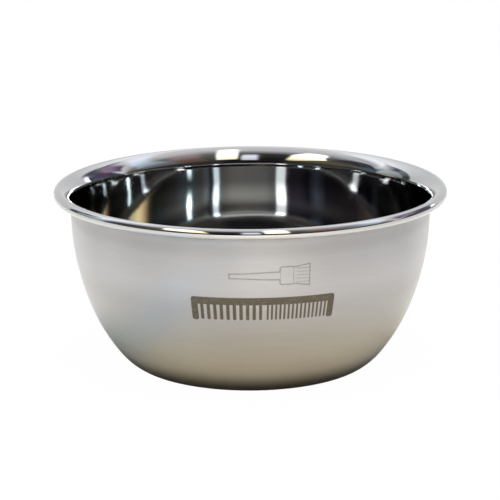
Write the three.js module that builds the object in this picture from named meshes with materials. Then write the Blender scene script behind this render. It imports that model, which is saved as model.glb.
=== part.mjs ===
// Hair color bowl: a round one-piece bowl drawn from a single disc of stainless steel sheet.
// Units are millimetres, +Z is up, the bowl's axis is Z and it stands on Z = 0.
//
// The whole bowl is one sheet of constant thickness. Its section is drawn as a pen path that
// follows the under side (outside) of the sheet: raised centre panel, ogee step down to the flat
// standing ring, tightly rounded heel, fair wall, short straight neck, flared lip and an open curl
// rolled under the lip. The path is then offset by the sheet thickness to give the inside surface,
// and the closed section is revolved. The curl is left open below the lip, as a rolled rim is, so
// its hollow is not sealed.
import * as THREE from 'three';

// ---- driving dimensions ------------------------------------------------------------------------
const OVERALL_DIAMETER = 130.0;   // over the rolled rim
const OVERALL_HEIGHT = 61.2;      // standing ring to the top of the rim
const SHEET = 0.7;                // sheet thickness, constant over the whole bowl

// rim
const CURL_RADIUS = 1.75;         // outer radius of the rolled curl
const FLARE_END_SLOPE = 21.8;     // slope of the lip, from horizontal, where the curl takes over
const CURL_END_SLOPE = -240.0;    // heading of the sheet at the cut end of the curl
const NECK_SLOPE = 87.8;          // slope of the straight neck under the lip

// base
const PANEL_RISE = 0.7;           // the centre panel stands this far above the standing ring
const PANEL_STEP_ANGLE = 18.0;    // steepest slope of the step between panel and ring
const PANEL_STEP_RADIUS = 4.0;    // radius of the two arcs of that step
const RING_WIDTH = 5.5;           // flat width of the standing ring

// wall: radius of curvature of the outside surface against the slope of the wall, in degrees from
// horizontal. 0 is the edge of the standing ring, the last entry is the start of the neck.
const WALL_CURVATURE = [
  [0, 42], [9, 33], [18, 20], [27, 8.7], [34, 17.2], [41, 18.4], [48, 21.8],
  [55, 63], [63, 58.6], [70, 78], [75, 104.8], [80, 64.5], [85, 80], [NECK_SLOPE, 85],
];

// lip: radius of curvature of the upper (polished) surface as it leaves the neck and flares out.
// The flare starts gently and tightens.
const FLARE_CURVATURE = [
  [FLARE_END_SLOPE, 5.98], [75, 5.98], [82, 9.2], [86, 20.7], [NECK_SLOPE, 24],
];

const SEGMENTS = 64;              // facets round the bowl

// ---- pen path ----------------------------------------------------------------------------------
const rad = THREE.MathUtils.degToRad;

class Pen {
  constructor() {
    this.r = 0;
    this.z = 0;
    this.heading = 0;             // degrees from +r, anticlockwise
    this.points = [];
  }
  mark() {
    // point on the outside surface and its partner on the inside surface, one sheet to the left
    const a = rad(this.heading);
    this.points.push([this.r, this.z, this.r - SHEET * Math.sin(a), this.z + SHEET * Math.cos(a)]);
    return this;
  }
  straight(length) {
    this.r += length * Math.cos(rad(this.heading));
    this.z += length * Math.sin(rad(this.heading));
    return this.mark();
  }
  // turn to a new heading along an arc whose radius belongs to the path itself
  arc(radius, heading, steps) {
    const start = this.heading;
    for (let i = 1; i <= steps; i++) this.bend(radius, start + ((heading - start) * i) / steps).mark();
    return this;
  }
  // turn to a new heading along a curve whose radius depends on the slope
  sweep(radiusOf, heading) {
    const start = this.heading;
    for (let i = 1; i <= 40; i++) {
      const next = start + ((heading - start) * i) / 40;
      this.bend(radiusOf((this.heading + next) / 2), next);
    }
    return this.mark();
  }
  bend(radius, heading) {
    const turn = heading - this.heading;
    const chord = 2 * radius * Math.sin(rad(Math.abs(turn)) / 2);
    const mid = rad(this.heading + turn / 2);
    this.r += chord * Math.cos(mid);
    this.z += chord * Math.sin(mid);
    this.heading = heading;
    return this;
  }
}

// radius of curvature at a slope, on a smooth curve through the stations of one of the tables above
function radiusAt(s, slope) {
  let i = 0;
  while (i < s.length - 2 && slope > s[i + 1][0]) i++;
  const t = THREE.MathUtils.clamp((slope - s[i][0]) / (s[i + 1][0] - s[i][0]), 0, 1);
  const m = (k) => {
    if (k <= 0 || k >= s.length - 1) return 0;
    const a = (Math.log(s[k][1]) - Math.log(s[k - 1][1])) / (s[k][0] - s[k - 1][0]);
    const b = (Math.log(s[k + 1][1]) - Math.log(s[k][1])) / (s[k + 1][0] - s[k][0]);
    return a * b <= 0 ? 0 : (2 * a * b) / (a + b);
  };
  const w = s[i + 1][0] - s[i][0];
  const t2 = t * t, t3 = t2 * t;
  return Math.exp(
    (2 * t3 - 3 * t2 + 1) * Math.log(s[i][1]) + (t3 - 2 * t2 + t) * w * m(i) +
    (-2 * t3 + 3 * t2) * Math.log(s[i + 1][1]) + (t3 - t2) * w * m(i + 1));
}

// slopes at which the wall and the lip get a ring of vertices: closest together round the heel
const WALL_STOPS = [7, 14, 21, 28, 34, 40, 46, 52, 59, 66, 72, 77, 81, 85, NECK_SLOPE];
const FLARE_STOPS = [85.5, 81, 70, 54, 38, FLARE_END_SLOPE];

function drawSection(ringInner, neck) {
  const pen = new Pen();
  const stepRun = 2 * PANEL_STEP_RADIUS * Math.sin(rad(PANEL_STEP_ANGLE));
  const stepDrop = 2 * PANEL_STEP_RADIUS * (1 - Math.cos(rad(PANEL_STEP_ANGLE)));
  const slope = (PANEL_RISE - stepDrop) / Math.sin(rad(PANEL_STEP_ANGLE));
  const panel = ringInner - stepRun - slope * Math.cos(rad(PANEL_STEP_ANGLE));
  pen.z = PANEL_RISE;
  pen.mark();
  pen.straight(panel);
  pen.arc(PANEL_STEP_RADIUS, -PANEL_STEP_ANGLE, 2);
  pen.straight(slope);
  pen.arc(PANEL_STEP_RADIUS, 0, 2);
  pen.straight(RING_WIDTH);
  for (const stop of WALL_STOPS) pen.sweep((a) => radiusAt(WALL_CURVATURE, a), stop);
  pen.straight(neck);
  for (const stop of FLARE_STOPS) pen.sweep((a) => radiusAt(FLARE_CURVATURE, a) - SHEET, stop);
  pen.arc(CURL_RADIUS - SHEET, 0, 1);
  pen.arc(CURL_RADIUS - SHEET, -90, 4);
  pen.arc(CURL_RADIUS - SHEET, CURL_END_SLOPE, 5);
  return pen.points;
}

// The wall's own curve fixes how far it reaches; the ring's radius and the neck's length take up
// what is left, so that the overall diameter and height come out exactly.
function reach(points) {
  return [Math.max(...points.map((p) => p[2])), Math.max(...points.map((p) => p[3]))];
}
const NECK_GUESS = 4.0;
const RING_GUESS = 20.0;
const [, topGuess] = reach(drawSection(RING_GUESS, NECK_GUESS));
const neck = NECK_GUESS + (OVERALL_HEIGHT - topGuess) / Math.sin(rad(NECK_SLOPE));
const [outGuess] = reach(drawSection(RING_GUESS, neck));
const ringInner = RING_GUESS + OVERALL_DIAMETER / 2 - outGuess;
const section = drawSection(ringInner, neck);

// ---- revolve -----------------------------------------------------------------------------------
const profile = [];
for (const [r, z] of section) profile.push(new THREE.Vector2(r, z));                 // under side, axis to curl end
for (const [, , r, z] of [...section].reverse()) profile.push(new THREE.Vector2(r, z)); // inside, curl end to axis
profile[0].x = 0;
profile[profile.length - 1].x = 0;

const geometry = new THREE.LatheGeometry(profile, SEGMENTS);
geometry.rotateX(Math.PI / 2);    // the lathe turns about Y; the bowl's axis is Z

const steel = new THREE.MeshStandardMaterial({ color: 0xb9b5ac, roughness: 0.34, metalness: 1.0 });
const bowl = new THREE.Mesh(geometry, steel);
bowl.name = 'bowl_shell';

const group = new THREE.Group();
group.add(bowl);

export default group;
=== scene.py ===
import math
import bpy
from mathutils import Matrix, Vector

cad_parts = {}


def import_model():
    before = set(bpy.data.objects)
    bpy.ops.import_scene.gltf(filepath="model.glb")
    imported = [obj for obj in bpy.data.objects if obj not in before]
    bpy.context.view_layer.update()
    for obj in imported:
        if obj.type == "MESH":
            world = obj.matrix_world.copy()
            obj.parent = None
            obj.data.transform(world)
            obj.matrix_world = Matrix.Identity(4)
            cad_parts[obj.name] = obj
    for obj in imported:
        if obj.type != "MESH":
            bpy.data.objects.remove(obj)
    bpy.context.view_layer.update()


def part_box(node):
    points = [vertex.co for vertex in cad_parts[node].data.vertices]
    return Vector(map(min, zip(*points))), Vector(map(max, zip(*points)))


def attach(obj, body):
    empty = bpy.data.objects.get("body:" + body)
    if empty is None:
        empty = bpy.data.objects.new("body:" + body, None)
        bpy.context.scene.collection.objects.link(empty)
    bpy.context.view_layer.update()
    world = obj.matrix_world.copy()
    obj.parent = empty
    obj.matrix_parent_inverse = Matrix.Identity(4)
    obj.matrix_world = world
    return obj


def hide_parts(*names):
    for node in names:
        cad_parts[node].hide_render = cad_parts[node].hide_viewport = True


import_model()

BOWL = "bowl_shell"
lo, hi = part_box(BOWL)
MM = 0.001
rad = math.radians
scene = bpy.context.scene

# --------------------------------------------------------------------------------------------------
# Section of the bowl: the CAD's own pen path with many more steps, so the wall is a fair curve.
# Lengths in millimetres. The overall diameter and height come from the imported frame.
# --------------------------------------------------------------------------------------------------
DIAMETER = (hi.x - lo.x) / MM
HEIGHT = (hi.z - lo.z) / MM
SHEET = 0.7
CURL_RADIUS = 1.75
FLARE_END_SLOPE = 21.8
CURL_END_SLOPE = -240.0
NECK_SLOPE = 87.8
PANEL_RISE = 0.7
PANEL_STEP_ANGLE = 18.0
PANEL_STEP_RADIUS = 4.0
RING_WIDTH = 5.5
WALL_CURVATURE = [
    (0, 42), (9, 33), (18, 20), (27, 8.7), (34, 17.2), (41, 18.4), (48, 21.8),
    (55, 63), (63, 58.6), (70, 78), (75, 104.8), (80, 64.5), (85, 80), (NECK_SLOPE, 85),
]
FLARE_CURVATURE = [(FLARE_END_SLOPE, 5.98), (75, 5.98), (82, 9.2), (86, 20.7), (NECK_SLOPE, 24)]
SEGMENTS = 288


def radius_at(s, slope):
    """Radius of curvature at a slope, on a smooth curve through the stations of a table."""
    i = 0
    while i < len(s) - 2 and slope > s[i + 1][0]:
        i += 1
    t = min(1.0, max(0.0, (slope - s[i][0]) / (s[i + 1][0] - s[i][0])))

    def m(k):
        if k <= 0 or k >= len(s) - 1:
            return 0.0
        a = (math.log(s[k][1]) - math.log(s[k - 1][1])) / (s[k][0] - s[k - 1][0])
        b = (math.log(s[k + 1][1]) - math.log(s[k][1])) / (s[k + 1][0] - s[k][0])
        return 0.0 if a * b <= 0 else 2 * a * b / (a + b)

    w = s[i + 1][0] - s[i][0]
    t2, t3 = t * t, t * t * t
    return math.exp(
        (2 * t3 - 3 * t2 + 1) * math.log(s[i][1]) + (t3 - 2 * t2 + t) * w * m(i)
        + (-2 * t3 + 3 * t2) * math.log(s[i + 1][1]) + (t3 - t2) * w * m(i + 1)
    )


class Pen:
    """Walks along the under side of the sheet; the inside is one sheet thickness to the left."""

    def __init__(self):
        self.r = self.z = self.h = 0.0
        self.points = []

    def mark(self, zone):
        self.points.append((self.r, self.z, rad(self.h), zone))
        return self

    def bend(self, radius, heading):
        turn = heading - self.h
        chord = 2 * radius * math.sin(rad(abs(turn)) / 2)
        mid = rad(self.h + turn / 2)
        self.r += chord * math.cos(mid)
        self.z += chord * math.sin(mid)
        self.h = heading
        return self

    def sweep(self, radius_of, heading, zone, steps=8):
        start = self.h
        for i in range(1, steps + 1):
            nxt = start + (heading - start) * i / steps
            self.bend(radius_of((self.h + nxt) / 2), nxt)
        return self.mark(zone)

    def straight(self, length, zone, steps=1):
        for _ in range(steps):
            self.r += length / steps * math.cos(rad(self.h))
            self.z += length / steps * math.sin(rad(self.h))
            self.mark(zone)
        return self

    def arc(self, radius, heading, steps, zone):
        start = self.h
        for i in range(1, steps + 1):
            self.bend(radius, start + (heading - start) * i / steps).mark(zone)
        return self


def draw(ring_inner, neck):
    p = Pen()
    run = 2 * PANEL_STEP_RADIUS * math.sin(rad(PANEL_STEP_ANGLE))
    drop = 2 * PANEL_STEP_RADIUS * (1 - math.cos(rad(PANEL_STEP_ANGLE)))
    slope = (PANEL_RISE - drop) / math.sin(rad(PANEL_STEP_ANGLE))
    p.z = PANEL_RISE
    p.mark("base")
    p.straight(ring_inner - run - slope * math.cos(rad(PANEL_STEP_ANGLE)), "base", 5)
    p.arc(PANEL_STEP_RADIUS, -PANEL_STEP_ANGLE, 4, "base")
    p.straight(slope, "base")
    p.arc(PANEL_STEP_RADIUS, 0, 4, "base")
    p.straight(RING_WIDTH, "base", 2)
    stops = 62
    for k in range(stops):
        p.sweep(lambda a: radius_at(WALL_CURVATURE, a), NECK_SLOPE * (k + 1) / stops, "wall")
    p.straight(neck, "wall", 3)
    stops = 18
    for k in range(stops):
        stop = NECK_SLOPE + (FLARE_END_SLOPE - NECK_SLOPE) * ((k + 1) / stops) ** 1.4
        p.sweep(lambda a: radius_at(FLARE_CURVATURE, a) - SHEET, stop, "lip")
    p.arc(CURL_RADIUS - SHEET, 0, 3, "lip")
    p.arc(CURL_RADIUS - SHEET, -90, 9, "lip")
    p.arc(CURL_RADIUS - SHEET, CURL_END_SLOPE, 12, "lip")
    return p.points


def inside(p):
    return p[0] - SHEET * math.sin(p[2]), p[1] + SHEET * math.cos(p[2])


guess = draw(20.0, 4.0)
neck = 4.0 + (HEIGHT - max(inside(p)[1] for p in guess)) / math.sin(rad(NECK_SLOPE))
guess = draw(20.0, neck)
section = draw(20.0 + DIAMETER / 2 - max(inside(p)[0] for p in guess), neck)

# closed profile: (r, z, normal r, normal z, zone), under side out, rounded cut edge, inside back
profile = [(p[0], p[1], math.sin(p[2]), -math.cos(p[2]), p[3] + "_out") for p in section]
last = section[-1]
mid = ((last[0] + inside(last)[0]) / 2, (last[1] + inside(last)[1]) / 2)
for i in range(1, 6):
    a = last[2] - math.pi / 2 + math.pi * i / 6
    n = (math.cos(a), math.sin(a))
    profile.append((mid[0] + n[0] * SHEET / 2, mid[1] + n[1] * SHEET / 2, n[0], n[1], "edge"))
profile += [(*inside(p), -math.sin(p[2]), math.cos(p[2]), p[3] + "_in") for p in reversed(section)]


def revolve(name, profile, segments):
    verts, normals, arcs, faces, zones = [], [], [], [], []
    run, arc = 0.0, [0.0]
    for a, b in zip(profile[:-1], profile[1:]):
        run += math.hypot(b[0] - a[0], b[1] - a[1])
        arc.append(run)
    rings = []
    for i, (r, z, nr, nz, zone) in enumerate(profile):
        if r < 1e-6:
            rings.append([len(verts)])
            verts.append((0.0, 0.0, z * MM))
            normals.append((0.0, 0.0, math.copysign(1.0, nz)))
            arcs.append(arc[i] * MM)
            continue
        ring = []
        for k in range(segments):
            a = 2 * math.pi * k / segments
            c, s = math.cos(a), math.sin(a)
            ring.append(len(verts))
            verts.append((r * c * MM, r * s * MM, z * MM))
            normals.append((nr * c, nr * s, nz))
            arcs.append(arc[i] * MM)
        rings.append(ring)
    for i in range(len(rings) - 1):
        a, b = rings[i], rings[i + 1]
        zone = profile[i + 1][4] if i + 1 < len(profile) // 2 else profile[i][4]
        for k in range(segments):
            j = (k + 1) % segments
            if len(a) == 1:
                faces.append((a[0], b[j], b[k]))
            elif len(b) == 1:
                faces.append((a[k], a[j], b[0]))
            else:
                faces.append((a[k], a[j], b[j], b[k]))
            zones.append(zone)
    mesh = bpy.data.meshes.new(name)
    mesh.from_pydata(verts, [], faces)
    mesh.update()
    for poly in mesh.polygons:
        poly.use_smooth = True
    mesh.normals_split_custom_set_from_vertices(normals)
    store = mesh.attributes.new("section_arc", "FLOAT", "POINT")
    store.data.foreach_set("value", arcs)
    obj = bpy.data.objects.new(name, mesh)
    scene.collection.objects.link(obj)
    return obj, zones


bowl, zones = revolve("bowl_steel_shell", profile, SEGMENTS)
assert sum(p.area for p in bowl.data.polygons) > 0


# --------------------------------------------------------------------------------------------------
# A small helper that writes arithmetic as shader nodes.
# --------------------------------------------------------------------------------------------------
class Value:
    """A node output that takes part in ordinary arithmetic."""

    def __init__(self, graph, socket):
        self.g, self.socket = graph, socket

    def __add__(self, o): return self.g.math("ADD", self, o)
    def __radd__(self, o): return self.g.math("ADD", o, self)
    def __sub__(self, o): return self.g.math("SUBTRACT", self, o)
    def __rsub__(self, o): return self.g.math("SUBTRACT", o, self)
    def __mul__(self, o): return self.g.math("MULTIPLY", self, o)
    def __rmul__(self, o): return self.g.math("MULTIPLY", o, self)
    def __truediv__(self, o): return self.g.math("DIVIDE", self, o)
    def __neg__(self): return self.g.math("MULTIPLY", self, -1.0)
    def __abs__(self): return self.g.math("ABSOLUTE", self)


class Graph:
    def __init__(self, tree):
        self.tree = tree
        tree.nodes.clear()

    def node(self, kind, **settings):
        n = self.tree.nodes.new(kind)
        for k, v in settings.items():
            setattr(n, k, v)
        return n

    def feed(self, socket, value):
        if isinstance(value, Value):
            self.tree.links.new(value.socket, socket)
        elif isinstance(value, bpy.types.NodeSocket):
            self.tree.links.new(value, socket)
        elif value is not None:
            socket.default_value = value

    def math(self, op, *values):
        n = self.node("ShaderNodeMath", operation=op)
        for i, v in enumerate(values):
            self.feed(n.inputs[i], v)
        return Value(self, n.outputs[0])

    def low(self, a, b): return self.math("MINIMUM", a, b)
    def high(self, a, b): return self.math("MAXIMUM", a, b)

    def ramp(self, v, a, b, to_a=0.0, to_b=1.0):
        """Smooth step of v from a to b, mapped to to_a .. to_b."""
        n = self.node("ShaderNodeMapRange", interpolation_type="SMOOTHSTEP")
        for i, x in enumerate((v, a, b, to_a, to_b)):
            self.feed(n.inputs[i], x)
        return Value(self, n.outputs[0])

    def mix(self, f, a, b):
        """Mix of two colours, unclamped."""
        n = self.node("ShaderNodeMix", data_type="VECTOR", clamp_factor=True)
        self.feed(n.inputs[0], f)
        self.feed(n.inputs[4], a)
        self.feed(n.inputs[5], b)
        return n.outputs[1]

    def scale(self, colour, f):
        n = self.node("ShaderNodeVectorMath", operation="SCALE")
        self.feed(n.inputs[0], colour)
        self.feed(n.inputs["Scale"], f)
        return n.outputs[0]

    def vec(self, x, y, z):
        n = self.node("ShaderNodeCombineXYZ")
        for i, v in enumerate((x, y, z)):
            self.feed(n.inputs[i], v)
        return n.outputs[0]

    def split(self, vector):
        n = self.node("ShaderNodeSeparateXYZ")
        self.feed(n.inputs[0], vector)
        return [Value(self, o) for o in n.outputs]

    def noise(self, vector, scale, detail=2.0, rough=0.5, distortion=0.0):
        n = self.node("ShaderNodeTexNoise")
        self.feed(n.inputs["Vector"], vector)
        self.feed(n.inputs["Scale"], scale)
        self.feed(n.inputs["Detail"], detail)
        self.feed(n.inputs["Roughness"], rough)
        self.feed(n.inputs["Distortion"], distortion)
        return Value(self, n.outputs[0])


# --------------------------------------------------------------------------------------------------
# Materials
# --------------------------------------------------------------------------------------------------
def steel_coordinates(g):
    """Position in mm, the angle round the bowl (0 at the front) and the length along the section."""
    co = g.node("ShaderNodeTexCoord")
    x, y, z = (v * 1000.0 for v in g.split(co.outputs["Object"]))
    angle = g.math("ARCTAN2", x, -y)
    along = g.node("ShaderNodeAttribute", attribute_name="section_arc")
    s = Value(g, along.outputs["Fac"]) * 1000.0
    return co.outputs["Object"], x, y, z, angle, s


def box(g, u, v, hu, hv, round_=0.0):
    """Signed distance to a box of half sizes hu, hv about the origin."""
    du, dv = abs(u) - (hu - round_), abs(v) - (hv - round_)
    ou, ov = g.high(du, 0.0), g.high(dv, 0.0)
    return g.math("SQRT", ou * ou + ov * ov) + g.low(g.high(du, dv), 0.0) - round_


def repeat(g, u, pitch):
    """Distance along u from the middle of the nearest cell of the given pitch."""
    return (g.math("FRACT", u / pitch + 0.5) - 0.5) * pitch


def comb(g, u, v):
    """A two-pitch cutting comb, 46.6 mm long and 8 mm deep, teeth down."""
    spine = box(g, u, v - 2.75, 23.3, 1.25, 0.9)
    ends = box(g, abs(u) - 22.2, v + 0.1, 1.1, 3.9, 0.7)
    wide = g.high(box(g, repeat(g, u + 0.9, 2.1), v + 0.55, 0.55, 3.1, 0.4), box(g, u + 10.7, v, 10.2, 9.0))
    fine = g.high(box(g, repeat(g, u, 1.35), v + 0.55, 0.33, 3.1, 0.25), box(g, u - 11.0, v, 10.2, 9.0))
    return g.low(g.low(spine, ends), g.low(wide, fine))


def brush(g, u, v):
    """Outline of a tint brush lying on its side, 25 mm long, bristles to the right."""
    taper = g.ramp(u, -12.0, 3.0, 0.75, 1.25)
    handle = g.high(box(g, u + 4.5, v, 8.0, 9.0), abs(v) - taper)
    neck = box(g, u - 5.4, v, 2.2, 2.9, 0.7)
    hair = g.high(box(g, u - 10.0, v, 2.6, 9.0), abs(v) - 2.7 - (u - 7.6) * 0.16)
    shape = g.low(g.low(handle, neck), hair)
    outline = abs(shape) - 0.22
    hole = abs(g.math("SQRT", (u + 10.8) * (u + 10.8) + v * v) - 0.9) - 0.12
    hairs = g.high(g.high(abs(repeat(g, v, 1.12)) - 0.1, box(g, u - 10.4, v, 2.0, 2.6)), 0.0 - 9.0)
    return g.low(outline, hairs)


MOTIF_RADIUS = 58.0      # the wall's radius where the ornament is etched
COMB_CENTRE = (4.05, 33.9)
BRUSH_CENTRE = (5.8, 45.1)


def satin_steel():
    mat = bpy.data.materials.new("steel_satin_outside")
    mat.use_nodes = True
    g = Graph(mat.node_tree)
    obj, x, y, z, angle, s = steel_coordinates(g)

    # polishing grain: long streaks round the bowl, at two widths, over soft clouds
    cx, cy = g.math("COSINE", angle), g.math("SINE", angle)
    fine = g.noise(g.vec(cx * 9.0, cy * 9.0, s * 7.5), 1.0, 3.0, 0.6)
    mid = g.noise(g.vec(cx * 3.5, cy * 3.5, s * 1.4), 1.0, 2.0, 0.5)
    cloud = g.noise(obj, 34.0, 2.5, 0.55)
    # handling scratches, few and faint, in slanting directions
    crack = g.node("ShaderNodeTexVoronoi", feature="DISTANCE_TO_EDGE", voronoi_dimensions="3D")
    g.feed(crack.inputs["Vector"], g.vec(angle * 2.9 + s * 0.16, s * 0.05, 0.0))
    g.feed(crack.inputs["Scale"], 1.0)
    patchy = g.ramp(g.noise(obj, 60.0, 1.0), 0.5, 0.62)
    scratches = g.ramp(Value(g, crack.outputs["Distance"]), 0.0, 0.007, 1.0, 0.0) * patchy
    rub = g.ramp(z, 0.1, 2.2, 1.0, 0.0)

    # laser-etched ornament at the front: a comb, and above it the outline of a tint brush
    u = angle * MOTIF_RADIUS
    dark = comb(g, u - COMB_CENTRE[0], z - COMB_CENTRE[1])
    thin = brush(g, u - BRUSH_CENTRE[0], z - BRUSH_CENTRE[1])
    uneven = g.noise(obj, 900.0, 2.0)
    dark_mask = g.ramp(dark, -0.13, 0.13, 1.0, 0.0) * g.ramp(uneven, 0.15, 0.5, 0.80, 0.97)
    thin_mask = g.ramp(thin, -0.13, 0.13, 1.0, 0.0) * g.ramp(uneven, 0.2, 0.6, 0.55, 0.85)

    tone = 1.0 + (fine - 0.5) * 0.15 + (mid - 0.5) * 0.08 + (cloud - 0.5) * 0.09
    # painted reflection: the outside is painted warmer towards the bottom, and warmer still at the foot, standing in
    # for the warm floor it reflects
    low = g.ramp(z, 6.0, 44.0, 1.0, 0.0)
    steel = g.mix(low, SATIN_HIGH, SATIN_LOW_WARM_REFLECTION)
    steel = g.mix(g.ramp(z, 10.0, 28.0, 1.0, 0.0), steel, SATIN_FOOT_WARM_REFLECTION)
    # painted shade: the wall is darkened by up to 16 % in a band between 10 and 42 mm height
    steel = g.scale(steel, 1.0 - g.ramp(z, 10.0, 25.0) * g.ramp(z, 32.0, 42.0, 1.0, 0.0) * 0.16)
    steel = g.scale(steel, tone - scratches * 0.05)
    # painted shade: the foot is darkened towards the floor contact, and two bands just under the lip and on its outer
    # side are darkened as if in the lip's shadow
    steel = g.scale(steel, g.ramp(z, 1.7, 10.8, 0.08, 1.0) * g.ramp(z, 49.5, 53.5, 1.0, 0.88) * g.ramp(z, 55.2, 57.2, 1.0, 0.80))
    steel = g.mix(thin_mask, steel, (0.29, 0.285, 0.27))
    steel = g.mix(dark_mask, steel, (0.135, 0.115, 0.082))

    etched = g.high(dark_mask, thin_mask)
    rough = 0.34 + (fine - 0.5) * 0.12 + (mid - 0.5) * 0.05 + rub * 0.08 - scratches * 0.05
    rough = rough + etched * 0.16
    height = fine * 0.6 + mid * 0.5 - scratches * 0.25 - etched * 0.9
    bump = g.node("ShaderNodeBump")
    g.feed(bump.inputs["Strength"], 0.07)
    g.feed(bump.inputs["Distance"], 0.00004)
    g.feed(bump.inputs["Height"], height)

    bsdf = g.node("ShaderNodeBsdfPrincipled")
    tangent = g.node("ShaderNodeTangent", direction_type="RADIAL", axis="Z")
    g.feed(bsdf.inputs["Base Color"], steel)
    g.feed(bsdf.inputs["Metallic"], 1.0)
    g.feed(bsdf.inputs["Roughness"], rough)
    g.feed(bsdf.inputs["Anisotropic"], 0.90 - etched * 0.7)
    g.feed(bsdf.inputs["Anisotropic Rotation"], 0.25)
    g.feed(bsdf.inputs["Tangent"], tangent.outputs[0])
    g.feed(bsdf.inputs["Normal"], bump.outputs[0])
    out = g.node("ShaderNodeOutputMaterial")
    g.feed(out.inputs["Surface"], bsdf.outputs[0])
    return mat


# SATIN_HIGH is the steel's own colour; the two lower colours carry a painted warm reflection of the floor
SATIN_HIGH = (0.560, 0.556, 0.570)
SATIN_LOW_WARM_REFLECTION = (0.575, 0.545, 0.468)
SATIN_FOOT_WARM_REFLECTION = (0.590, 0.543, 0.440)


def mirror_steel():
    mat = bpy.data.materials.new("steel_mirror_inside")
    mat.use_nodes = True
    g = Graph(mat.node_tree)
    obj, x, y, z, angle, s = steel_coordinates(g)
    cx, cy = g.math("COSINE", angle), g.math("SINE", angle)
    fine = g.noise(g.vec(cx * 14.0, cy * 14.0, s * 9.0), 1.0, 3.0, 0.6)
    swirl = g.noise(obj, 160.0, 3.0, 0.55, 0.6)
    cloud = g.noise(obj, 30.0, 2.0, 0.5)
    ripple = g.noise(g.vec(cx * 2.4, cy * 2.4, s * 0.14), 1.0, 1.5, 0.5)
    # painted shade: the neck band below the lip gets a much darker mirror colour, so its reflections come out dark
    base = g.mix(g.ramp(z, 44.5, 50.5), MIRROR_WALL, MIRROR_NECK_PAINTED_SHADE)
    base = g.mix(g.ramp(z, 54.2, 56.0), base, MIRROR_LIP)     # the lip is buffed brighter
    base = g.scale(base, 0.98 + cloud * 0.04)
    rough = 0.050 + g.ramp(fine, 0.5, 0.8) * 0.03 + g.ramp(swirl, 0.55, 0.8) * 0.02
    bump = g.node("ShaderNodeBump")
    g.feed(bump.inputs["Strength"], 0.05)
    g.feed(bump.inputs["Distance"], 0.0002)
    g.feed(bump.inputs["Height"], fine * 0.02 + ripple * 1.6)
    bsdf = g.node("ShaderNodeBsdfPrincipled")
    g.feed(bsdf.inputs["Base Color"], base)
    g.feed(bsdf.inputs["Metallic"], 1.0)
    g.feed(bsdf.inputs["Roughness"], rough)
    g.feed(bsdf.inputs["Normal"], bump.outputs[0])
    out = g.node("ShaderNodeOutputMaterial")
    g.feed(out.inputs["Surface"], bsdf.outputs[0])
    return mat


MIRROR_WALL = (0.500, 0.500, 0.500)
MIRROR_NECK_PAINTED_SHADE = (0.210, 0.210, 0.212)
MIRROR_LIP = (0.605, 0.603, 0.600)

bowl.data.materials.append(satin_steel())
bowl.data.materials.append(mirror_steel())
for poly, zone in zip(bowl.data.polygons, zones):
    poly.material_index = 1 if zone in ("base_in", "wall_in", "lip_in", "edge") else 0

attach(bowl, "root")
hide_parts(BOWL)

# --------------------------------------------------------------------------------------------------
# Floor
# --------------------------------------------------------------------------------------------------
def floor():
    mesh = bpy.data.meshes.new("studio_floor")
    n, size = 24, 4.0
    verts = [((i / n - 0.5) * 2 * size, (j / n - 0.5) * 2 * size, 0.0) for j in range(n + 1) for i in range(n + 1)]
    faces = [(j * (n + 1) + i, j * (n + 1) + i + 1, (j + 1) * (n + 1) + i + 1, (j + 1) * (n + 1) + i) for j in range(n) for i in range(n)]
    mesh.from_pydata(verts, [], faces)
    obj = bpy.data.objects.new("studio_floor", mesh)
    scene.collection.objects.link(obj)
    mat = bpy.data.materials.new("floor_pale")
    mat.use_nodes = True
    g = Graph(mat.node_tree)
    co = g.node("ShaderNodeTexCoord")
    n1 = g.noise(co.outputs["Object"], 9.0, 3.0)
    fx, fy, fz = g.split(co.outputs["Object"])
    # painted shadow: the floor's colour is darkened round the bowl's foot, down to a tenth, with its middle set a
    # little back
    back, aside = fy - 0.015, (fx + 0.002) * 0.87
    painted_contact_shadow = g.ramp(g.math("SQRT", aside * aside + back * back), 0.036, 0.074, 0.10, 1.0)
    sheet = g.mix(n1, (0.90, 0.897, 0.89), (0.92, 0.917, 0.91))
    # painted light: a band of the floor to the left is tinted blue as if lit by cool light
    painted_cool_light = g.ramp(fx, -0.054, -0.044, 1.0, 0.0) * g.ramp(fx, -0.084, -0.064)
    sheet = g.mix(painted_cool_light, sheet, (0.66, 0.80, 0.98))
    # painted shade: the floor is darker to the right and to the left of the bowl
    sheet = g.scale(sheet, g.ramp(fx, 0.07, 0.16, 1.0, 0.84) * g.ramp(fx, -0.15, -0.08, 0.89, 1.0))
    bsdf = g.node("ShaderNodeBsdfPrincipled")
    g.feed(bsdf.inputs["Base Color"], g.scale(sheet, painted_contact_shadow))
    g.feed(bsdf.inputs["Roughness"], 0.75)
    g.feed(bsdf.inputs["Specular IOR Level"], 0.15)
    # seen directly the sheet is almost blown out, so only a faint shadow is left on it
    white = g.node("ShaderNodeEmission")
    g.feed(white.inputs["Color"], (1.0, 1.0, 1.0, 1.0))
    path = g.node("ShaderNodeLightPath")
    seen = g.node("ShaderNodeMixShader")
    g.feed(seen.inputs[0], Value(g, path.outputs["Is Camera Ray"]) * 0.99)
    g.feed(seen.inputs[1], bsdf.outputs[0])
    g.feed(seen.inputs[2], white.outputs[0])
    out = g.node("ShaderNodeOutputMaterial")
    g.feed(out.inputs["Surface"], seen.outputs[0])
    mesh.materials.append(mat)
    return obj


floor()

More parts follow.
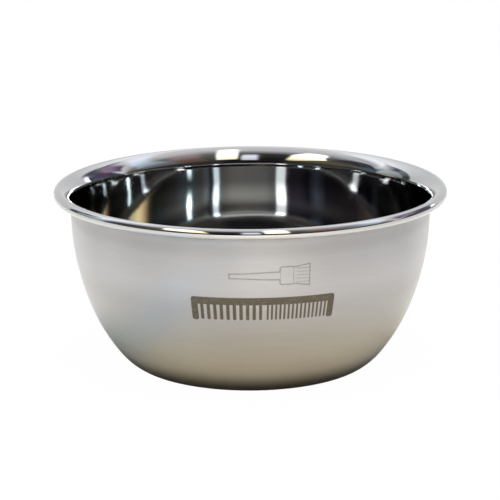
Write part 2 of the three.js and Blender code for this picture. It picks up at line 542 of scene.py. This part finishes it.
# --------------------------------------------------------------------------------------------------
# Studio. Directions are given as (phi, xi): phi turns from the horizon behind the bowl (0) over the
# zenith (90) to the horizon at the camera (180); xi is the angle to the side, + to the right.
# A strip has knots (phi, xi of its middle, half width), the softness of its sides and ends, and a
# colour at each knot. Rays that have met the steel once see the room from the rim; rays that have
# met it twice or more come from inside the bowl and see it from lower down and from the middle.
# --------------------------------------------------------------------------------------------------
ALL = 400.0
ROOM_FROM_RIM = [
    ("field", [(12, 0, ALL), (36, 0, ALL), (48, 0, ALL), (60, 0, ALL), (72, 0, ALL), (84, 0, ALL), (96, 0, ALL), (108, 0, ALL), (125, 0, ALL), (165, 0, ALL)], 5, 0,
     [(.05, .07, .08), (.06, .07, .11), (.13, .14, .20), (.85, .84, .87), (.88, .86, .90), (.68, .68, .71), (.42, .43, .45), (.20, .20, .20), (.13, .13, .11), (.04, .04, .04)]),
    ("backdrop", [(-4, -3, 50), (10, -3, 50), (22, -2, 47), (34, -3, 42), (46, -6, 36), (56, -10, 30)], 2.5, 6,
     [(.80, .80, .82), (.76, .77, .78), (.76, .77, .78), (.90, .91, .94), (1.10, 1.12, 1.17), (1.5, 1.5, 1.5)]),
    ("left_edge", [(0, -75, 13), (20, -72, 13), (40, -70, 14), (60, -76, 14), (80, -80, 10), (150, -76, 12)], 4, 6,
     [(.3, .3, .3), (.36, .39, .41), (.54, .58, .60), (.58, .68, .73), (.08, .15, .20), (.11, .14, .15)]),
    ("left_gap", [(4, -59, 4.5), (20, -55, 4), (42, -49, 3.5)], 2.0, 4, [(.07, .08, .09), (.05, .06, .07), (.3, .35, .41)]),
    ("slate", [(26, 41, 11), (34, 40, 11), (44, 38, 10)], 4, 4, [(.2, .24, .3), (.09, .10, .13), (.15, .16, .19)]),
    ("purple_low", [(2, 64, 9), (20, 63, 10), (36, 60, 12), (50, 60, 14)], 4, 5, [(.2, .2, .25), (.1, .09, .15), (.12, .08, .14), (.1, .07, .12)]),
    ("plum", [(44, 45, 14), (56, 52, 14), (72, 62, 12)], 5, 5, [(.36, .31, .38), (.37, .25, .40), (.06, .04, .08)]),
    ("window", [(5, 51.5, 3.0), (14, 47.5, 3.6), (24, 41.5, 3.2), (29, 38, 2.5)], 1.0, 2.5, [(.4, .42, .45), (2.0, 2.1, 2.2), (2.0, 2.1, 2.2), (.3, .32, .38)]),
    ("left_patch", [(56, -26, 10), (64, -36, 18), (72, -45, 20), (80, -50, 14)], 6, 4, [(1.4, 1.45, 1.55), (1.35, 1.42, 1.48), (.75, .79, .84), (.41, .45, .48)]),
    ("blue_band", [(44, 12, 5), (56, 20, 7), (68, 30, 8), (82, 46, 9), (98, 55, 9), (116, 60, 10)], 5, 5,
     [(1.28, 1.30, 1.38), (1.17, 1.17, 1.30), (1.3, 1.35, 1.52), (1.0, 1.14, 1.35), (.63, .78, .91), (.42, .50, .58)]),
    ("dark_left", [(82, -66, 10), (95, -60, 14), (110, -58, 14), (128, -58, 12)], 6, 5, [(.02, .03, .03), (.07, .08, .10), (.04, .04, .04), (.09, .09, .09)]),
    ("beige_left", [(128, -50, 12), (145, -50, 14), (166, -48, 14)], 6, 5, [(.09, .08, .06), (.15, .14, .10), (.10, .09, .05)]),
    ("grey_in", [(84, -8, 14), (92, -9, 15), (99, -10, 16), (107, -12, 16), (116, -15, 16), (124, -18, 16)], 5, 5,
     [(.88, .88, .90), (.70, .70, .72), (.48, .48, .51), (.30, .30, .32), (.13, .13, .14), (.05, .05, .05)]),
    ("dark_in_l", [(116, -14, 9), (130, -16, 11), (146, -15, 10), (164, -14, 9)], 4, 5, [(.05, .05, .06), (.04, .04, .04), (.02, .02, .02), (.01, .01, .01)]),
    ("dark_in_r", [(116, 6, 5), (130, 8, 5), (146, 9, 5), (164, 9, 5)], 3, 5, [(.14, .13, .11), (.03, .03, .03), (.01, .01, .01), (.01, .01, .01)]),
    ("stripe", [(120, 0, 3.4), (128, 0, 4.0), (136, 0.3, 4.4), (148, 0.5, 4.8), (160, 0.5, 5.0)], 1.5, 3,
     [(.35, .37, .42), (.95, 1.0, 1.12), (1.25, 1.3, 1.45), (1.05, 1.1, 1.25), (.85, .9, 1.05)]),
    ("doorway", [(164, -2, 20), (176, -2, 20)], 4, 2.0, [(.012, .012, .014), (.012, .012, .014)]),
    ("brown_right", [(84, 26, 8), (100, 27, 8), (116, 33, 9), (136, 38, 10), (158, 38, 11)], 4, 5,
     [(.8, .78, .82), (.48, .40, .40), (.38, .29, .29), (.21, .13, .11), (.16, .08, .07)]),
    ("blue_right", [(112, 60, 13), (130, 60, 14), (158, 58, 14)], 5, 5, [(.54, .62, .73), (.25, .29, .33), (.13, .12, .13)]),
    ("cream_left", [(92, -24.5, 4), (104, -28, 7), (115, -29, 9), (132, -33.5, 11.5), (149, -29, 6.5), (157, -26, 3)], 1.5, 3,
     [(2.0, 1.98, 1.85), (2.6, 2.55, 2.3), (2.6, 2.5, 2.2), (2.2, 2.05, 1.6), (1.5, 1.3, .8), (.8, .7, .4)]),
    ("cream_right", [(78, 5, 2.2), (98, 8, 3.6), (119, 11, 5), (136, 13, 6), (154, 14.5, 6.5)], 1.2, 2,
     [(2.3, 2.3, 2.25), (3.0, 3.0, 2.9), (3.0, 2.95, 2.8), (2.6, 2.45, 2.0), (1.5, 1.3, .75)]),
]
ROOM_FROM_INSIDE = [
    ("high", [(0, 0, ALL), (40, 0, ALL), (70, 0, ALL), (100, 0, ALL), (130, 0, ALL), (160, 0, ALL)], 5, 0,
     [(.38, .40, .37), (.24, .24, .23), (.10, .10, .09), (.06, .05, .04), (.10, .10, .09), (.2, .22, .25)]),
    ("high_left", [(30, -45, 20), (60, -45, 20), (90, -45, 20), (120, -45, 20), (150, -45, 20)], 8, 5,
     [(.45, .47, .44), (.25, .25, .23), (.15, .13, .10), (.15, .14, .10), (.2, .19, .16)]),
    ("high_right", [(30, 45, 20), (60, 45, 20), (90, 45, 20), (120, 45, 20), (150, 45, 20)], 8, 5,
     [(.12, .09, .11), (.2, .19, .18), (.12, .11, .11), (.08, .08, .10), (.2, .21, .25)]),
    ("shade_behind", [(25, 0, 34), (34, 0, 34)], 4, 2, [(.05, .05, .05), (.03, .03, .03)]),
    ("glow_behind", [(36, 0, 30), (52, 0, 27), (78, 0, 20)], 3, 4, [(.5, .5, .52), (1.5, 1.5, 1.55), (1.2, 1.2, 1.25)]),
    ("golden", [(118, -36, 5), (126, -35, 6), (145, -34, 6), (160, -32, 6)], 2.5, 5,
     [(.5, .42, .33), (1.0, .85, .66), (1.3, 1.15, .90), (1.6, 1.4, 1.0)]),
]
# walls of the room near the horizon, seen from inside: azimuth (0 behind, + right) and colour
HORIZON = [
    (-180, (.21, .17, .13)), (-173, (1.5, 1.4, .95)), (-165, (2.3, 2.0, 1.15)), (-160, (2.9, 2.4, 1.25)), (-154, (2.4, 1.8, .95)), (-147, (.95, .70, .38)), (-142, (.15, .11, .07)), (-136, (.03, .03, .02)),
    (-120, (.05, .05, .04)), (-104, (.11, .11, .10)), (-92, (.19, .23, .25)), (-76, (.20, .29, .31)), (-66, (.28, .27, .22)),
    (-58, (.50, .57, .62)), (-53, (.05, .06, .08)), (-50, (.02, .03, .04)), (-38, (.45, .48, .47)), (-24, (.78, .76, .69)),
    (-10, (.80, .79, .74)), (5, (.74, .74, .70)), (20, (.72, .72, .68)), (31, (.46, .48, .44)), (50, (.08, .09, .15)),
    (54, (.07, .05, .08)), (64, (.08, .07, .10)), (78, (.02, .02, .03)), (90, (.14, .17, .22)), (104, (.03, .03, .04)),
    (125, (.03, .025, .025)), (150, (.04, .03, .035)), (180, (.21, .17, .13)),
]
HORIZON_LOW = [
    (-180, (.05, .05, .05)), (-148, (.01, .08, .15)), (-104, (.32, .34, .33)), (-76, (.50, .48, .45)), (-51, (.08, .06, .05)),
    (-10, (.50, .48, .44)), (12, (.48, .47, .43)), (31, (.22, .23, .22)), (64, (.16, .17, .21)), (104, (.19, .18, .17)), (180, (.05, .05, .05)),
]
# the windows: middle azimuth, half width, softness, top, gain at the third reflection, colour
WINDOWS = [
    (-45.3, 3.6, 1.5, 40, 2.0, (5.6, 6.4, 6.8)),
    (41.0, 6.2, 1.6, 40, 2.2, (6.2, 6.5, 6.6)),
    (-82.0, 2.8, 1.3, 14.0, 2.8, (13.0, 15.8, 16.8)),
]
BRIGHT = 8.0


def table(name, stops):
    """A node group that interpolates straight through (position 0..1, three numbers up to BRIGHT)."""
    group = bpy.data.node_groups.new(name, "ShaderNodeTree")
    group.interface.new_socket("Fac", in_out="INPUT", socket_type="NodeSocketFloat")
    group.interface.new_socket("Value", in_out="OUTPUT", socket_type="NodeSocketVector")
    g = Graph(group)
    n = g.node("ShaderNodeValToRGB")
    ramp = n.color_ramp
    ramp.interpolation = "LINEAR"
    ramp.elements[0].position = stops[0][0]
    ramp.elements[1].position = stops[-1][0]
    for at, _ in stops[1:-1]:
        ramp.elements.new(at)
    for e, (at, value) in zip(ramp.elements, stops):
        e.color = (*(v / BRIGHT for v in value), 1.0)
    come, leave = g.node("NodeGroupInput"), g.node("NodeGroupOutput")
    g.feed(n.inputs[0], come.outputs[0])
    g.feed(leave.inputs[0], g.scale(n.outputs[0], BRIGHT))
    return group


def look_up(g, name, fac):
    n = g.node("ShaderNodeGroup")
    n.node_tree = TABLES[name]
    g.feed(n.inputs[0], fac)
    return n.outputs[0]


def turn(phi):
    return (phi + 10.0) / 200.0


TABLES = {}
for room in (ROOM_FROM_RIM, ROOM_FROM_INSIDE):
    for name, knots, side, end, colours in room:
        TABLES[name + "_tint"] = table(name + "_tint", [(turn(k[0]), c) for k, c in zip(knots, colours)])
        if knots[0][2] < ALL:
            TABLES[name + "_place"] = table(name + "_place", [(turn(k[0]), ((k[1] + 90) / 180, k[2] / 90, 0.0)) for k in knots])
for name, band in (("horizon", HORIZON), ("horizon_low", HORIZON_LOW)):
    TABLES[name] = table(name, [((a + 180) / 360, c) for a, c in band])


def strips(g, room, phi, xi, colour):
    for name, knots, side, end, colours in room:
        tint = look_up(g, name + "_tint", turn(phi))
        if knots[0][2] >= ALL:
            colour = tint
            continue
        centre, half, _ = g.split(look_up(g, name + "_place", turn(phi)))
        away = abs(xi - (centre * 180.0 - 90.0))
        m = g.ramp(away, half * 90.0 - side, half * 90.0 + side, 1.0, 0.0)
        m = m * g.ramp(phi, knots[0][0] - end, knots[0][0] + end)
        m = m * g.ramp(phi, knots[-1][0] - end, knots[-1][0] + end, 1.0, 0.0)
        colour = g.mix(m, colour, tint)
    return colour


def world():
    w = bpy.data.worlds.new("studio_surround")
    scene.world = w
    w.use_nodes = True
    g = Graph(w.node_tree)
    co = g.node("ShaderNodeTexCoord")
    dx, dy, dz = g.split(co.outputs["Generated"])
    deg = 180 / math.pi
    phi = g.math("ARCTAN2", dz, dy) * deg
    phi = g.math("WRAP", phi, 270.0, -90.0)
    xi = g.math("ARCSINE", dx) * deg
    az = g.math("ARCTAN2", dx, dy) * deg
    el = g.math("ARCSINE", dz) * deg

    rim_view = strips(g, ROOM_FROM_RIM, phi, xi, None)
    inside_view = strips(g, ROOM_FROM_INSIDE, phi, xi, None)
    for band, low, high in (("horizon", 22.0, 27.0), ("horizon_low", 8.0, 14.0)):
        tint = look_up(g, band, (az + 180.0) / 360.0)
        inside_view = g.mix(g.ramp(el, low, high, 1.0, 0.0), inside_view, tint)
    # the windows stay strong enough to be seen again after three and four reflections
    path = g.node("ShaderNodeLightPath")
    depth = Value(g, path.outputs["Ray Depth"])
    third, fourth = g.math("GREATER_THAN", depth, 3.5), g.math("GREATER_THAN", depth, 4.5)
    for middle, half, soft, top, gain, colour in WINDOWS:
        boost = 1.0 + third * gain + fourth * 2.5
        away = abs(g.math("WRAP", az - middle, 180.0, -180.0))
        m = g.ramp(away, half - soft, half + soft, 1.0, 0.0) * g.ramp(el, top - 4.0, top + 4.0, 1.0, 0.0) * g.ramp(el, 4.0, 8.5)
        inside_view = g.mix(m, inside_view, g.scale(g.vec(*colour), boost))

    deeper = g.math("GREATER_THAN", depth, 2.5)
    bg = g.node("ShaderNodeBackground")
    g.feed(bg.inputs["Color"], g.mix(deeper, rim_view, inside_view))
    g.feed(bg.inputs["Strength"], 1.0)
    pale = g.node("ShaderNodeBackground")
    g.feed(pale.inputs["Color"], (1.0, 1.0, 1.0, 1.0))
    mixer = g.node("ShaderNodeMixShader")
    g.feed(mixer.inputs[0], path.outputs["Is Camera Ray"])
    g.feed(mixer.inputs[1], bg.outputs[0])
    g.feed(mixer.inputs[2], pale.outputs[0])
    out = g.node("ShaderNodeOutputWorld")
    g.feed(out.inputs["Surface"], mixer.outputs[0])
    return w


world()


def area(name, position, aim, size, power, colour, glossy=False):
    light = bpy.data.lights.new(name, "AREA")
    light.shape = "RECTANGLE"
    light.size, light.size_y = size
    light.energy = power
    light.color = colour
    obj = bpy.data.objects.new(name, light)
    scene.collection.objects.link(obj)
    obj.location = position
    obj.rotation_mode = "QUATERNION"
    obj.rotation_quaternion = (Vector(aim) - Vector(position)).to_track_quat("-Z", "Y")
    obj.visible_camera = False
    obj.visible_glossy = glossy
    return obj


area("overhead_softbox", (0.0, 0.15, 1.3), (0, 0, 0), (1.6, 1.6), 14.0, (1.0, 0.99, 0.98))
area("warm_front_fill", (0.07, -0.9, 0.30), (0.02, -0.05, 0.0), (0.8, 0.3), 7.8, (1.0, 0.89, 0.75))
area("cool_left_fill", (-1.1, -0.25, 0.4), (-0.03, 0, 0.0), (0.4, 0.5), 0.5, (0.70, 0.85, 1.0))

# --------------------------------------------------------------------------------------------------
# Camera
# --------------------------------------------------------------------------------------------------
SCALE = 3.0208           # image pixels per millimetre at the rim's centre
FOCAL = 2600.0           # focal length in pixels of the 500-pixel frame
ELEVATION = 13.908
ROLL = 0.28
RIM_CENTRE = (250.28, 190.02)

e, roll = rad(ELEVATION), rad(ROLL)
forward = Vector((0, math.cos(e), -math.sin(e)))
right = Vector((1, 0, 0))
up = Vector((0, math.sin(e), math.cos(e)))
a, b = RIM_CENTRE[0] - 250, 250 - RIM_CENTRE[1]
a0 = a * math.cos(roll) + b * math.sin(roll)
b0 = -a * math.sin(roll) + b * math.cos(roll)
rim = Vector((0, 0, (HEIGHT - CURL_RADIUS) * MM))
eye = rim - (forward * FOCAL + right * a0 + up * b0) * (MM / SCALE)
axis_u = right * math.cos(roll) - up * math.sin(roll)
axis_v = right * math.sin(roll) + up * math.cos(roll)
cam_data = bpy.data.cameras.new("camera")
cam = bpy.data.objects.new("camera", cam_data)
scene.collection.objects.link(cam)
cam_data.sensor_fit = "HORIZONTAL"
cam_data.sensor_width = 36.0
cam_data.lens = 36.0 * FOCAL / 500.0
cam_data.clip_start, cam_data.clip_end = 0.01, 20.0
rot = Matrix((axis_u, axis_v, -forward)).transposed()
cam.matrix_world = Matrix.Translation(eye) @ rot.to_4x4()
scene.camera = cam

scene.view_settings.view_transform = "Standard"
scene.view_settings.look = "None"
scene.view_settings.exposure = 0.0
scene.view_settings.gamma = 1.0
